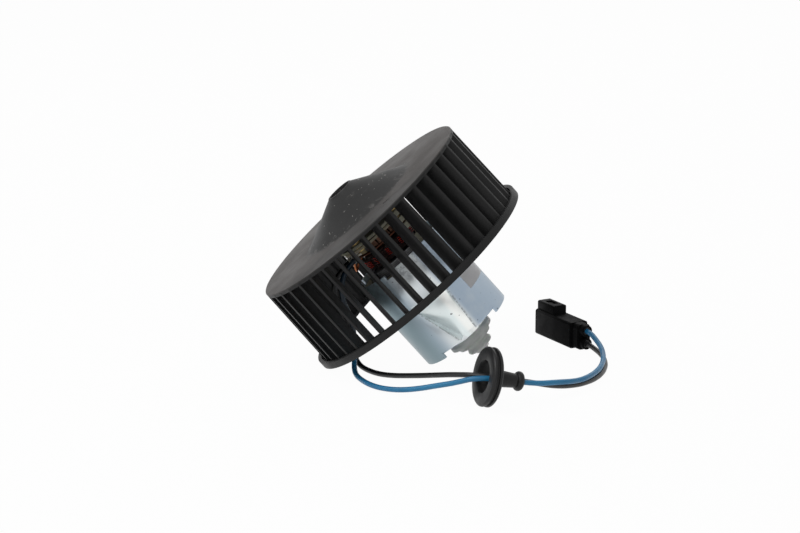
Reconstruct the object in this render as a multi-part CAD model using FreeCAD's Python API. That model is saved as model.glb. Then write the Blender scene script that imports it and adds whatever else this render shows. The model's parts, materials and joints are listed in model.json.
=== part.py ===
# Car cabin blower motor: a one-piece drum fan on the shaft of a small permanent-magnet motor,
# with a pair of leads, a wall grommet and a two-way plug. Millimetres.
# The motor is built upright, with its axis on Z and the plane of the fan's disc at z = 0, the hub
# cone above and the motor hanging below. It is then laid down on the fan's ring and the rear skirt
# of its can, which is how it rests on a table.

import FreeCAD
import Part
import math
import os

Vec = FreeCAD.Vector

# Fan wheel
disc_r = 75.0
disc_t = 2.4
disc_edge = 0.5
hub_h = 16.3
hub_rim_r = 9.2
hub_rim_round = 0.6
hub_pocket_r = 7.6
hub_pocket_deep = 5.0
hub_pocket_wall = 1.6
hub_floor_t = 2.2
cone_wall = 2.3
cone_foot_r = 38.0
cone_foot_h = 0.9
cone_dish = 0.5
foot_wide = 2.5
foot_dish = 0.15
sleeve_r = 6.6
sleeve_below = 0.5
blade_count = 44
blade_phase = -3.95
blade_t = 1.5
blade_deep = 9.7
blade_draft = 0.9
blade_tip_top_r = disc_r
blade_tip_ring_r = blade_tip_top_r + blade_draft
blade_in_r = blade_tip_top_r - blade_deep
blade_lean = 4.5
blade_bow = 1.2
ring_over = 3.3
ring_r = blade_tip_ring_r + ring_over
ring_wide = 14.0
ring_in_r = ring_r - ring_wide
ring_bottom = 57.3
ring_plate_t = 2.0
ring_lip_t = 2.4
ring_lip_h = 4.4
slot_from_edge = 22.4
slot_at = -63.2
slot_long = 4.7
slot_wide = 1.7

# Shaft and hub clip
shaft_r = 3.0
shaft_top = 14.6
shaft_end = 118.4
shaft_chamfer = 0.6
clip_r = 5.9
clip_t = 0.7
clip_dome = 0.9

# Motor can, drawn from sheet
can_r = 31.2
can_t = 1.5
can_front = 36.6
can_notch_deep = 3.2
can_notch_wide = 7.5
can_tab_width = 18.0
can_tab_at = -93.0
can_back = 97.0
can_corner = 1.6
skirt_h = 2.8
skirt_at = 10.0
skirt_span = 96.0
boss_r = 13.5
boss_end = 101.8
boss_foot = 98.6
arm_start = 62.0
arm_left = -11.8
arm_right = 12.7
arm_left_end = -0.4
arm_right_end = 9.2

# Magnets and their springs
magnet_t = 6.2
magnet_gap = 0.2
magnet_front = 43.4
magnet_long = 39.0
magnet_span = 104.0
magnet_clip_t = 1.0
magnet_clip_long = 14.0
magnet_clip_gap = 0.6

# Armature
air_gap = 0.9
stack_front = 34.5
stack_long = 36.0
slot_count = 12
slot_mouth = 3.2
slot_floor_r = 10.5
slot_room = 0.15
winding_r = 19.6
winding_core_r = 6.5
front_head_h = 10.0
rear_head_h = 9.0
coil_bulge = 2.3
commutator_r = 9.8
commutator_core_r = 7.6
commutator_front = 16.0
bar_gap = 1.2
riser_r = 11.2
riser_t = 1.4
washer_r = 5.2
washer_t = 0.8
washer_gap = 0.15

# End frame, brush card and brush gear
deck_top = 12.6
deck_t = 1.8
deck_inset = 5.2
deck_r = can_r - deck_inset
deck_hole_r = 4.2
arm_t = 2.0
arm_at = -42.0
arm_span = 26.0
arm_slot_span = 13.0
notch_spare = 6.0
arm_slots = [(15.9, 17.3), (20.8, 21.8), (25.8, 31.4)]
seat_ring_in = 3.4
seat_ring_h = 2.6
frame_fit = 0.05
bearing_boss_r = 9.4
bearing_boss_h = 7.6
bearing_r = 6.9
bearing_long = 7.6
bearing_crown = 0.9
running_gap = 0.04
bearing_fit = 0.03
retainer_t = 0.5
card_gap = 0.9
card_t = 1.6
card_r = 24.6
card_hole_r = 12.4
rivet_circle_r = 20.6
rivet_at = 56.0
rivet_r = 1.5
rivet_fit = 0.05
rivet_head_r = 2.7
rivet_head_t = 0.8
box_wall = 0.6
box_in = 12.4
box_out = 23.4
brush_wide = 6.4
brush_high = 5.0
brush_fit = 0.12
brush_back = 18.6
brush_touch = 0.04
brush_at = 5.0
spring_r = 1.7
spring_wire = 0.5
spring_turns = 4.0
spring_end_gap = 0.05
shunt_r = 0.8
shunt_room = 0.6
terminal_at = 212.0
terminal_apart = 17.0
terminal_r = 22.2
terminal_wide = 4.4
terminal_t = 1.0
crimp_r = 2.2
crimp_long = 6.0
crimp_end_r = 26.0
grommet_corner = 5.0
bead_corner = 27.7
plug_corner = 3.2

# Rear bearing and rear cap
carrier_r = 11.9
carrier_long = 6.6
clamp_t = 0.6
cap_r = 15.3
cap_flange_h = 3.8
cap_flange_slope = 1.4
cap_mid_r = 12.1
cap_mid_end = 108.6
cap_neck_r = 9.4
cap_neck_end = 111.2
cap_bead_r = 8.4
cap_bead_end = 114.2
cap_nose_r = 4.4
cap_nose_end = 116.4
cap_wall = 2.6
cap_bore_gap = 0.5

# Leads, grommet and plug, laid on the table beside the motor
lead_r = 1.6
grommet_x = 56.0
grommet_y = -92.8
grommet_turn = 17.0
grommet_dip = 12.5
flange_r = 17.5
flange_t = 6.2
groove_r = 15.9
groove_wide = 1.8
flange_round = 0.9
mouth_r = 9.8
neck_root_r = 5.2
neck_end_r = 4.2
neck_end = 16.8
neck_bore_r = 3.45
bead_r = 5.8
bead_wide = 4.6
lead_offset = 1.72
plug_at = Vec(121.8, 22.6, 0.0)
plug_turn = 119.0
plug_tube_r = 3.6
plug_tube_long = 4.0
plug_tube_low = 4.6
plug_tube_high = 12.8
plug_back_long = 6.0
plug_back_wide = 9.6
plug_back_high = 16.2
plug_back_round = 3.0
plug_body_long = 40.0
plug_body_wide = 13.2
plug_body_high = 16.6
plug_round = 1.8
plug_wall = 1.5
plug_socket_deep = 14.0
latch_long = 18.0
latch_wide = 9.8
latch_high = 5.4
latch_wall = 1.4
latch_slot_long = 9.0
latch_slot_wide = 4.6
latch_slot_from = 4.5
latch_lever_wide = 2.4
latch_lever_drop = 0.9
latch_lever_t = 1.4
blade_pin_wide = 6.3
blade_pin_t = 0.8
blade_pin_long = 9.0
seal_long = 4.0

# Routes of the leads. Inside the fan they are (radius, angle, depth) about the shaft, with the depth
# from the fan's disc; outside it they are places on the table.
black_inside = [
    (35.8, 203.5, 19.7),
    (44.2, 202.4, 24.6),
    (48.8, 200.0, 33.0),
    (49.4, 197.6, 43.0),
    (49.8, 196.0, 53.0),
]
black_before = [
    (-22.6, -14.8, 16.0),
    (-22.2, -17.4, 8.8),
    (-19.4, -22.0, 4.2),
    (-14.4, -28.8, 2.9),
    (-7.2, -38.4, 3.2),
    (1.4, -47.4, 4.9),
    (10.0, -55.0, 7.1),
    (18.8, -63.0, 9.6),
    (28.0, -71.4, 12.4),
    (35.8, -78.6, 14.8),
]
black_after = [
    (96.4, -73.2, 6.0),
    (109.6, -62.6, 3.6),
    (118.8, -51.6, 2.9),
    (125.2, -39.4, 2.8),
    (129.2, -25.2, 2.8),
    (130.6, -10.0, 2.8),
    (129.6, 4.0, 3.0),
    (126.0, 14.8, 3.8),
]
blue_inside = [
    (35.8, 220.5, 19.7),
    (44.2, 219.3, 24.6),
    (48.8, 215.6, 33.0),
    (49.8, 211.6, 42.4),
]
blue_before = [
    (-22.4, -25.6, 26.0),
    (-21.8, -25.2, 17.0),
    (-22.0, -27.2, 9.6),
    (-22.2, -31.6, 5.0),
    (-21.0, -39.6, 3.0),
    (-17.2, -50.4, 2.9),
    (-12.0, -60.2, 2.9),
    (-4.6, -68.4, 3.2),
    (5.2, -74.8, 4.2),
    (16.2, -79.6, 6.5),
    (26.6, -84.4, 9.8),
    (36.6, -89.4, 12.9),
]
blue_after = [
    (96.6, -77.2, 9.7),
    (110.0, -65.6, 7.0),
    (118.2, -53.4, 6.4),
    (124.0, -40.8, 6.5),
    (127.8, -26.2, 6.6),
    (129.4, -11.2, 6.9),
    (129.0, 2.6, 8.4),
    (126.0, 13.2, 10.8),
]


# Copper shunts from the brushes to the crimps, as (radius, angle, depth) about the shaft
shunt_left_route = [
    (17.6, 185.0, 22.7),
    (17.8, 185.0, 24.1),
    (20.6, 186.5, 24.8),
    (23.6, 190.0, 26.4),
    (25.0, 195.0, 27.4),
    (25.4, 199.5, 26.2),
    (24.6, 202.6, 23.8),
    (24.0, 203.5, 22.2),
]
shunt_right_route = [
    (17.6, 5.0, 22.7),
    (17.8, 5.0, 24.1),
    (20.4, 2.6, 24.8),
    (23.0, 357.0, 24.5),
    (23.0, 347.0, 23.2),
    (22.8, 334.0, 22.0),
    (22.8, 318.0, 21.4),
    (22.8, 302.0, 21.4),
    (22.8, 286.0, 21.4),
    (22.8, 270.0, 21.4),
    (22.8, 254.0, 21.4),
    (22.8, 240.0, 21.0),
    (22.8, 226.4, 20.2),
]


# Shared forms

def cylinder(r, low, high):
    return Part.makeCylinder(r, high - low, Vec(0, 0, low))


def tube(r_out, r_in, low, high):
    return cylinder(r_out, low, high).cut(cylinder(r_in, low - 1, high + 1))


def outline(steps):
    """A closed wire in the XZ plane. A step is (r, z), or ((r, z), (r, z)) for an arc by its middle."""
    edges = []
    last = Vec(steps[0][0], 0, steps[0][1])
    for step in steps[1:] + steps[:1]:
        if isinstance(step[0], tuple):
            middle = Vec(step[0][0], 0, step[0][1])
            end = Vec(step[1][0], 0, step[1][1])
            edges.append(Part.Arc(last, middle, end).toShape())
        else:
            end = Vec(step[0], 0, step[1])
            edges.append(Part.LineSegment(last, end).toShape())
        last = end
    return Part.Wire(edges)


def turned(steps, angle=360.0, start=0.0):
    """The outline turned about Z, from the start angle on."""
    solid = Part.Face(outline(steps)).revolve(Vec(0, 0, 0), Vec(0, 0, 1), angle)
    return spun(solid, start)


def spun(shape, angle):
    copy = shape.copy()
    copy.rotate(Vec(0, 0, 0), Vec(0, 0, 1), angle)
    return copy


def sector(r_in, r_out, low, high, middle, span):
    """A piece of a tube, centred on the middle angle."""
    corners = [(r_in, low), (r_out, low), (r_out, high), (r_in, high)]
    return turned(corners, span, middle - span / 2)


def block(x0, x1, y0, y1, z0, z1):
    return Part.makeBox(x1 - x0, y1 - y0, z1 - z0, Vec(x0, y0, z0))


def polar(r, angle, z):
    a = math.radians(angle)
    return Vec(r * math.cos(a), r * math.sin(a), z)


def group(solids):
    return Part.makeCompound(solids)


def prism_xz(points, y0, y1):
    """The closed figure of (x, z) points, from y0 to y1."""
    corners = [Vec(x, y0, z) for x, z in points]
    face = Part.Face(Part.makePolygon(corners + corners[:1]))
    return face.extrude(Vec(0, y1 - y0, 0))


def prism_yz(points, x0, x1):
    """The closed figure of (y, z) points, from x0 to x1."""
    corners = [Vec(x0, y, z) for y, z in points]
    face = Part.Face(Part.makePolygon(corners + corners[:1]))
    return face.extrude(Vec(x1 - x0, 0, 0))


def rounded_block(x0, x1, y0, y1, z0, z1, r):
    """A block whose four edges along X are rounded."""
    solid = block(x0, x1, y0, y1, z0, z1)
    edges = [e for e in solid.Edges if abs(e.tangentAt(e.FirstParameter).x) > 0.99]
    return solid.makeFillet(r, edges)


def corner_radius(before, corner, after):
    """The largest arc of a lead at a corner of its route, and its tangent length."""
    back = before.sub(corner)
    ahead = after.sub(corner)
    run = min(back.Length, ahead.Length)
    turn = math.pi - back.getAngle(ahead)
    tangent = 0.45 * run
    return tangent / math.tan(turn / 2), tangent, turn


def cord(stops, radius_out):
    """A round cord along straight runs joined by tangent arcs, and its length."""
    edges = []
    last = stops[0]
    for k in range(1, len(stops) - 1):
        corner = stops[k]
        radius, tangent, turn = corner_radius(stops[k - 1], corner, stops[k + 1])
        back = stops[k - 1].sub(corner).normalize()
        ahead = stops[k + 1].sub(corner).normalize()
        start = corner.add(Vec(back).multiply(tangent))
        end = corner.add(Vec(ahead).multiply(tangent))
        inward = Vec(back).add(ahead).normalize()
        middle = corner.add(inward.multiply(radius / math.cos(turn / 2) - radius))
        edges.append(Part.LineSegment(last, start).toShape())
        edges.append(Part.Arc(start, middle, end).toShape())
        last = end
    edges.append(Part.LineSegment(last, stops[-1]).toShape())
    path = Part.Wire(edges)
    first = stops[1].sub(stops[0])
    section = Part.Wire(Part.Circle(stops[0], first, radius_out).toShape())
    solid = path.makePipeShell([section], True, False)
    return solid, path.Length


# Fan wheel

def wheel_disc():
    """Disc, hub cone and hub sleeve as one turned section. Heights are above the disc's plane."""
    cone_mid_r = (hub_rim_r + cone_foot_r) / 2
    cone_mid_h = (hub_h + cone_foot_h) / 2 - cone_dish
    foot_end_r = cone_foot_r + foot_wide
    foot_mid_r = (cone_foot_r + foot_end_r) / 2
    foot_mid_h = cone_foot_h / 2 - foot_dish
    pocket_floor = hub_h - hub_pocket_deep
    under_r = hub_pocket_r + hub_pocket_wall
    rise = (hub_rim_r - under_r) * (hub_h - cone_foot_h) / (cone_foot_r - hub_rim_r)
    under_h = hub_h + rise - cone_wall - 0.8 * hub_rim_round
    floor_under = pocket_floor - hub_floor_t
    return turned([
        (shaft_r, pocket_floor),
        (hub_pocket_r, pocket_floor),
        (hub_pocket_r, hub_h),
        (hub_rim_r - hub_rim_round, hub_h),
        (hub_rim_r, hub_h - hub_rim_round),
        ((cone_mid_r, cone_mid_h), (cone_foot_r, cone_foot_h)),
        ((foot_mid_r, foot_mid_h), (foot_end_r, 0)),
        (disc_r - disc_edge, 0),
        (disc_r, -disc_edge),
        (disc_r, -disc_t),
        (foot_end_r - 1, -disc_t),
        ((foot_mid_r - 1, foot_mid_h - cone_wall), (cone_foot_r - 1, cone_foot_h - cone_wall)),
        ((cone_mid_r - 1, cone_mid_h - cone_wall), (under_r, under_h)),
        (under_r, floor_under),
        (sleeve_r, floor_under - 1.2),
        (sleeve_r, sleeve_below),
        (shaft_r, sleeve_below),
    ])


def wheel_ring():
    """The flat ring that ties the blades' free ends, with its raised outer lip."""
    low = -ring_bottom
    plate = low + ring_plate_t
    lip = low + ring_lip_h
    lip_in = ring_r - ring_lip_t
    return turned([
        (ring_in_r, low),
        (ring_r, low),
        (ring_r, lip),
        (lip_in, lip),
        (lip_in, plate),
        (ring_in_r, plate),
    ])


def blade():
    """One blade: a bowed section that leans forward at its tip, trimmed to the drum's draft."""
    tip = Vec(blade_tip_ring_r + 1, 0, 0)
    root = Vec(blade_in_r, -blade_lean, 0)
    chord = root.sub(tip)
    side = Vec(-chord.y, chord.x, 0).normalize()
    if side.y > 0:
        side = side.negative()
    middle = tip.add(root).multiply(0.5).add(Vec(side).multiply(blade_bow))
    centre = Part.Arc(tip, middle, root).toShape().Curve.Center
    half = blade_t / 2
    faces = []
    for offset in (half, -half):
        points = []
        for p in (tip, middle, root):
            out = p.sub(centre).normalize()
            points.append(p.add(out.multiply(offset)))
        faces.append(points)
    convex, concave = faces
    edges = [
        Part.Arc(*convex).toShape(),
        Part.LineSegment(convex[2], concave[2]).toShape(),
        Part.Arc(concave[2], concave[1], concave[0]).toShape(),
        Part.LineSegment(concave[0], convex[0]).toShape(),
    ]
    low = -ring_bottom + ring_plate_t / 2
    high = -disc_t / 2
    solid = Part.Face(Part.Wire(edges)).extrude(Vec(0, 0, high - low))
    solid.translate(Vec(0, 0, low))
    drum = Part.makeCone(blade_tip_ring_r, blade_tip_top_r, high - low, Vec(0, 0, low))
    return solid.common(drum)


def wheel():
    """Disc, cone, blades and ring are one moulding."""
    one = blade()
    pitch = 360.0 / blade_count
    blades = [spun(one, blade_phase + k * pitch) for k in range(blade_count)]
    solid = wheel_disc().multiFuse(blades + [wheel_ring()])
    half_long = slot_long / 2
    half_wide = slot_wide / 2
    slot = block(-half_long, half_long, -half_wide, half_wide, -2 * disc_t, disc_t)
    slot.translate(polar(disc_r - slot_from_edge, slot_at, 0))
    return solid.cut(slot)


def shaft():
    rim = shaft_r - shaft_chamfer
    return turned([
        (0, -shaft_end),
        (rim, -shaft_end),
        (shaft_r, -shaft_end + shaft_chamfer),
        (shaft_r, shaft_top - shaft_chamfer),
        (rim, shaft_top),
        (0, shaft_top),
    ])


def hub_clip():
    """A domed spring nut pushed on the shaft, on the floor of the hub's pocket."""
    floor = hub_h - hub_pocket_deep
    top = floor + clip_dome
    return turned([
        (shaft_r, top),
        (shaft_r, top + clip_t),
        (clip_r - 1.2, floor + clip_t),
        (clip_r, floor + clip_t),
        (clip_r, floor),
        (clip_r - 1.4, floor),
    ])


# Motor can

def can_arm(grow):
    """The space outside one slanted arm of the can, grown by a wall for the inside of the sheet."""
    slope = (can_r - boss_r) / (boss_end - arm_start)
    far = boss_end + 10

    def edge(at_start, at_end, z):
        share = (z - arm_start) / (boss_end - arm_start)
        return at_start + (at_end - at_start) * share

    top = arm_start - 10
    plan = prism_xz([
        (edge(arm_left, arm_left_end, top) - grow, -top),
        (edge(arm_right, arm_right_end, top) + grow, -top),
        (edge(arm_right, arm_right_end, far) + grow, -far),
        (edge(arm_left, arm_left_end, far) - grow, -far),
    ], -2 * can_r, 0)
    inward = grow * math.sqrt(1 + slope * slope)
    side = prism_yz([
        (-can_r + inward - slope * 10, -top),
        (-2 * can_r, -top),
        (-2 * can_r, -far),
        (-can_r + inward + slope * (far - arm_start), -far),
    ], -can_r, can_r)
    return plan.common(side)


def arms_full():
    """Where the slanted arms have their full width: the wall is a ring up to here, and two arcs beyond."""
    slope = (can_r - boss_r) / (boss_end - arm_start)
    half = max(abs(arm_left), abs(arm_right))
    return arm_start + (can_r - math.sqrt(can_r ** 2 - half ** 2)) / slope


def can_body(r, wall, front, corner):
    """The can's outer or inner surface as a solid: a cup with a raised bearing boss at the back."""
    back = -can_back + wall
    foot = -boss_foot + wall
    end = -boss_end + wall
    return turned([
        (0, -front),
        (0, end),
        (boss_r - wall, end),
        (boss_r - wall, foot),
        (r - corner, back),
        ((r - 0.3 * corner, back + 0.3 * corner), (r, back + corner)),
        (r, -arms_full()),
        (r, -front),
    ])


def motor_can():
    # turned from the middle of a recess, so the wall's faces are its ring and its two whole arcs
    outer = spun(can_body(can_r, 0, can_front, can_corner), 90)
    inner = spun(can_body(can_r - can_t, can_t, can_front - 1, 0.4 * can_corner), 90)
    near_out = can_arm(0)
    near_in = can_arm(can_t)
    outer = outer.cut(near_out).cut(spun(near_out, 180))
    inner = inner.cut(near_in).cut(spun(near_in, 180))
    shell = outer.cut(inner)
    r_in = can_r - can_t
    pieces = []
    skirt_top = -can_back + can_corner + 1
    for middle in (skirt_at, skirt_at + 180):
        low = -can_back - skirt_h
        pieces.append(sector(r_in, can_r, low, skirt_top, middle, skirt_span))
    shell = shell.multiFuse(pieces)
    aside = (can_tab_width + can_notch_wide) / 2
    for k in range(4):
        for middle in (can_tab_at + 90 * k - aside, can_tab_at + 90 * k + aside):
            low = -can_front - can_notch_deep
            notch = sector(r_in - 1, can_r + 1, low, -can_front + 1, middle, can_notch_wide)
            shell = shell.cut(notch)
    return shell.cut(cylinder(shaft_r + 1.6, -boss_end - 1, -boss_end + can_t + 1))


def magnet(middle):
    r_out = can_r - can_t - magnet_gap
    low = -magnet_front - magnet_long
    return sector(r_out - magnet_t, r_out, low, -magnet_front, middle, magnet_span)


def magnet_clips():
    """Two springs that push the magnets apart, between their edges."""
    r_out = can_r - can_t - magnet_gap
    r_in = r_out - magnet_clip_t
    gap_angle = math.degrees(magnet_clip_gap / r_out)
    span = 180 - magnet_span - 2 * gap_angle
    high = -magnet_front - 1
    low = high - magnet_clip_long
    solids = []
    for middle in (-90 + skirt_at, 90 + skirt_at):
        strip = sector(r_in, r_out, low, high, middle, span)
        edge = math.degrees(magnet_clip_t / r_out)
        ears = []
        for sign in (-1, 1):
            at = middle + sign * (span - edge) / 2
            ears.append(sector(r_out - 3.2, r_out, low, high, at, edge))
        solids.append(strip.multiFuse(ears))
    return group(solids)


# Armature

def stack_r():
    return can_r - can_t - magnet_gap - magnet_t - air_gap


def armature_stack():
    high = -stack_front
    low = high - stack_long
    body = cylinder(stack_r(), low, high)
    half = slot_mouth / 2
    slot = block(slot_floor_r, 2 * can_r, -half, half, low - 1, high + 1)
    slots = [spun(slot, (k + 0.5) * 360.0 / slot_count) for k in range(slot_count)]
    body = body.cut(group(slots))
    return body.cut(cylinder(shaft_r, low - 1, high + 1))


def winding_head(low, high):
    """One end of the winding: a ring with a rounded shoulder and a bulge for each coil."""
    soft = 3.2
    middle = soft * 0.3
    ring = turned([
        (winding_core_r, low),
        (winding_r - coil_bulge - soft, low),
        ((winding_r - coil_bulge - middle, low + middle), (winding_r - coil_bulge, low + soft)),
        (winding_r - coil_bulge, high - soft),
        ((winding_r - coil_bulge - middle, high - middle), (winding_r - coil_bulge - soft, high)),
        (winding_core_r, high),
    ])
    bulge_r = winding_r - coil_bulge - 1.6
    coils = []
    for k in range(slot_count):
        start = polar(bulge_r, k * 360.0 / slot_count, low + 1.2)
        coil = Part.makeCylinder(coil_bulge + 1.3, high - low - 2.4, start)
        coils.append(coil)
    return ring.multiFuse(coils)


def armature_winding():
    """Both heads and the copper in the slots are one wound and varnished mass."""
    front = -stack_front + slot_room
    back = -stack_front - stack_long - slot_room
    heads = [
        winding_head(front, front + front_head_h),
        winding_head(back - rear_head_h, back),
    ]
    half = slot_mouth / 2 - slot_room
    bar = block(slot_floor_r + slot_room, winding_r - coil_bulge, -half, half, back - 1, front + 1)
    bars = [spun(bar, (k + 0.5) * 360.0 / slot_count) for k in range(slot_count)]
    return heads[0].multiFuse([heads[1]] + bars)


def commutator_back():
    return stack_front - slot_room - front_head_h


def commutator_core():
    low = -commutator_back()
    return tube(commutator_core_r, shaft_r, low, -commutator_front)


def commutator_bars():
    """Copper bars with risers at the winding end, each its own solid."""
    low = -commutator_back()
    riser_top = low + riser_t
    gap_angle = math.degrees(bar_gap / commutator_r)
    span = 360.0 / slot_count - gap_angle
    bars = []
    for k in range(slot_count):
        section = [
            (commutator_core_r, low),
            (riser_r, low),
            (riser_r, riser_top),
            (commutator_r, riser_top),
            (commutator_r, -commutator_front),
            (commutator_core_r, -commutator_front),
        ]
        bars.append(turned(section, span, k * 360.0 / slot_count - span / 2))
    return group(bars)


def thrust_washer(z):
    return tube(washer_r, shaft_r + running_gap, z - washer_t, z)


# End frame and brush gear

def end_frame():
    """A moulded frame: a deck with the front bearing's boss, two arms and the ring in the can's mouth."""
    deck_low = -deck_top - deck_t
    boss_top = -deck_top + bearing_boss_h
    deck = cylinder(deck_r, deck_low, -deck_top)
    boss = cylinder(bearing_boss_r, deck_low, boss_top)
    ring_high = -can_front - seat_ring_in
    ring_low = ring_high - seat_ring_h
    r_in = deck_r - arm_t
    ring = tube(can_r - can_t - frame_fit, r_in, ring_low, ring_high)
    arms = []
    for middle in (arm_at, arm_at + 180):
        arm = sector(r_in, deck_r, ring_low, -deck_top, middle, arm_span)
        for near, far in arm_slots:
            arm = arm.cut(sector(r_in - 1, deck_r + 1, -far, -near, middle, arm_slot_span))
        arms.append(arm)
    solid = deck.multiFuse([boss, ring] + arms)
    pocket = cylinder(bearing_r + bearing_fit, boss_top - bearing_long, boss_top + 1)
    hole = cylinder(deck_hole_r, deck_low - 1, boss_top)
    solid = solid.cut(pocket).cut(hole)
    for k in range(4):
        at = polar(rivet_circle_r, rivet_at + 90 * k, deck_low - 1)
        solid = solid.cut(Part.makeCylinder(rivet_r + rivet_fit, deck_t + 2, at))
    return solid


def barrel(top, long):
    """A sintered bush with a crowned outside."""
    low = top - long
    middle = (top + low) / 2
    return turned([
        (shaft_r + running_gap, low),
        (bearing_r - bearing_crown, low),
        ((bearing_r, middle), (bearing_r - bearing_crown, top)),
        (shaft_r + running_gap, top),
    ])


def front_bearing():
    return barrel(-deck_top + bearing_boss_h, bearing_long)


def bearing_retainer():
    """A thin spring washer over the front bearing, on the boss."""
    top = -deck_top + bearing_boss_h
    return tube(bearing_boss_r - 0.6, shaft_r + 1.4, top, top + retainer_t)


def card_top():
    return -deck_top - deck_t - card_gap


def brush_card():
    """The phenolic card under the deck, which carries the brush boxes and the terminals."""
    high = card_top()
    low = high - card_t
    card = tube(card_r, card_hole_r, low, high)
    for k in range(4):
        at = polar(rivet_circle_r, rivet_at + 90 * k, low - 1)
        card = card.cut(Part.makeCylinder(rivet_r + rivet_fit, card_t + 2, at))
    for middle in (arm_at, arm_at + 180):
        reach = deck_r - arm_t - 0.3
        notch = sector(reach, 2 * can_r, low - 1, high + 1, middle, arm_span + notch_spare)
        card = card.cut(notch)
    return card


def card_rivets():
    """Four hollow-looking rivets with a collar that spaces the card from the deck."""
    top = -deck_top
    low = card_top() - card_t
    rivets = []
    for k in range(4):
        angle = rivet_at + 90 * k
        shank = Part.makeCylinder(rivet_r, top - low, polar(rivet_circle_r, angle, low))
        head = Part.makeCylinder(rivet_head_r, rivet_head_t, polar(rivet_circle_r, angle, top))
        collar_at = polar(rivet_circle_r, angle, card_top())
        collar = Part.makeCylinder(rivet_head_r, card_gap, collar_at)
        foot_at = polar(rivet_circle_r, angle, low - rivet_head_t)
        foot = Part.makeCylinder(rivet_head_r, rivet_head_t, foot_at)
        rivets.append(shank.multiFuse([head, collar, foot]))
    return group(rivets)


def brush_middle():
    """The height of the brushes' centre line."""
    return card_top() - card_t - box_wall - brush_fit - brush_high / 2


def brush_box(side):
    """A folded brass box, open towards the commutator, hung under the card."""
    half_w = brush_wide / 2 + brush_fit
    half_h = brush_high / 2 + brush_fit
    z = brush_middle()
    outer = block(
        box_in,
        box_out,
        -half_w - box_wall,
        half_w + box_wall,
        z - half_h - box_wall,
        z + half_h + box_wall,
    )
    inner = block(box_in - 1, box_out - box_wall, -half_w, half_w, z - half_h, z + half_h)
    window = block(
        brush_back - 3.5,
        box_out - box_wall - 0.6,
        -shunt_r - shunt_room,
        shunt_r + shunt_room,
        z - half_h - 2 * box_wall,
        z - half_h + box_wall,
    )
    return spun(outer.cut(inner).cut(window), brush_at + side)


def brush(side):
    """A carbon block whose inner end is hollowed to the commutator."""
    z = brush_middle()
    half_w = brush_wide / 2
    half_h = brush_high / 2
    body = block(0, brush_back, -half_w, half_w, z - half_h, z + half_h)
    face = cylinder(commutator_r + brush_touch, z - brush_high, z + brush_high)
    return spun(body.cut(face), brush_at + side)


def brush_spring(side):
    """A square-wire coil spring behind the brush, along the brush's line."""
    start = brush_back + spring_end_gap
    end = box_out - box_wall - spring_end_gap
    long = end - start - spring_wire
    helix = Part.makeHelix(long / spring_turns, long, spring_r)
    half = spring_wire / 2
    corners = [
        Vec(spring_r - half, 0, -half),
        Vec(spring_r + half, 0, -half),
        Vec(spring_r + half, 0, half),
        Vec(spring_r - half, 0, half),
    ]
    section = Part.makePolygon(corners + corners[:1])
    spring = Part.Wire(helix).makePipeShell([section], True, True)
    spring.rotate(Vec(0, 0, 0), Vec(0, 1, 0), 90)
    spring.translate(Vec(start + half, 0, brush_middle()))
    return spun(spring, brush_at + side)


def terminal_place(side):
    return terminal_at + side * terminal_apart / 2


def crimp_middle():
    """The height of the crimps' centre line, just under their lugs."""
    return card_top() - card_t - terminal_t - 0.8 * crimp_r


def terminal(side):
    """A tinned lug under the card, with the crimp that holds a lead pointing outwards."""
    z = card_top() - card_t
    half = terminal_wide / 2
    lug = block(terminal_r - 2, crimp_end_r - 1.4, -half, half, z - terminal_t, z)
    crimp = Part.makeCylinder(
        crimp_r, crimp_long, Vec(crimp_end_r - crimp_long, 0, crimp_middle()), Vec(1, 0, 0)
    )
    return spun(lug.fuse(crimp), terminal_place(side))


def brush_shunt(route):
    """A braid from the underside of a brush to its crimp."""
    stops = [polar(radius, angle, -depth) for radius, angle, depth in route]
    return cord(stops, shunt_r)[0]


# Rear bearing and cap

def bearing_floor():
    return -boss_end + can_t


def rear_bearing():
    return barrel(bearing_floor() + bearing_long, bearing_long)


def bearing_carrier():
    """The ring that centres the rear bearing in the can's boss."""
    low = bearing_floor()
    return tube(carrier_r, bearing_r + bearing_fit, low, low + carrier_long)


def bearing_clamp():
    """A thin washer over the rear bearing and its carrier."""
    low = bearing_floor() + bearing_long
    return tube(carrier_r - 1.2, shaft_r + 1.2, low, low + clamp_t)


def rear_cap():
    """A stepped translucent cap round the shaft's end, seated on the can's boss."""
    top = -boss_end
    flange_end = top - cap_flange_h
    bore = shaft_r + cap_bore_gap
    return turned([
        (bore, top - 3.0),
        (boss_r - cap_wall, top - 3.0),
        (boss_r - cap_wall, top),
        (boss_r, top),
        (cap_r, top - cap_flange_slope),
        (cap_r, flange_end),
        (cap_mid_r, flange_end - 0.9),
        (cap_mid_r - 0.4, -cap_mid_end),
        (cap_neck_r, -cap_mid_end - 0.8),
        ((cap_neck_r - 1.3, -(cap_mid_end + cap_neck_end) / 2 - 0.6), (cap_neck_r - 1.4, -cap_neck_end)),
        (cap_bead_r, -cap_neck_end - 0.8),
        ((cap_bead_r + 0.2, -(cap_neck_end + cap_bead_end) / 2 - 0.4), (cap_bead_r - 0.6, -cap_bead_end)),
        (cap_nose_r + 1.0, -cap_bead_end - 0.9),
        (cap_nose_r, -cap_nose_end),
        (bore, -cap_nose_end),
    ])


# Leads, grommet and plug

def along_x(shape):
    """A form turned about Z becomes one about X."""
    copy = shape.copy()
    copy.rotate(Vec(0, 0, 0), Vec(0, 1, 0), 90)
    return copy


def grommet_middle():
    """The middle of the flange, at the height where its edge stands on the table."""
    dip = math.radians(grommet_dip)
    edge = flange_t / 2 - flange_round
    return Vec(grommet_x, grommet_y, flange_r * math.cos(dip) + edge * math.sin(dip))


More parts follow.
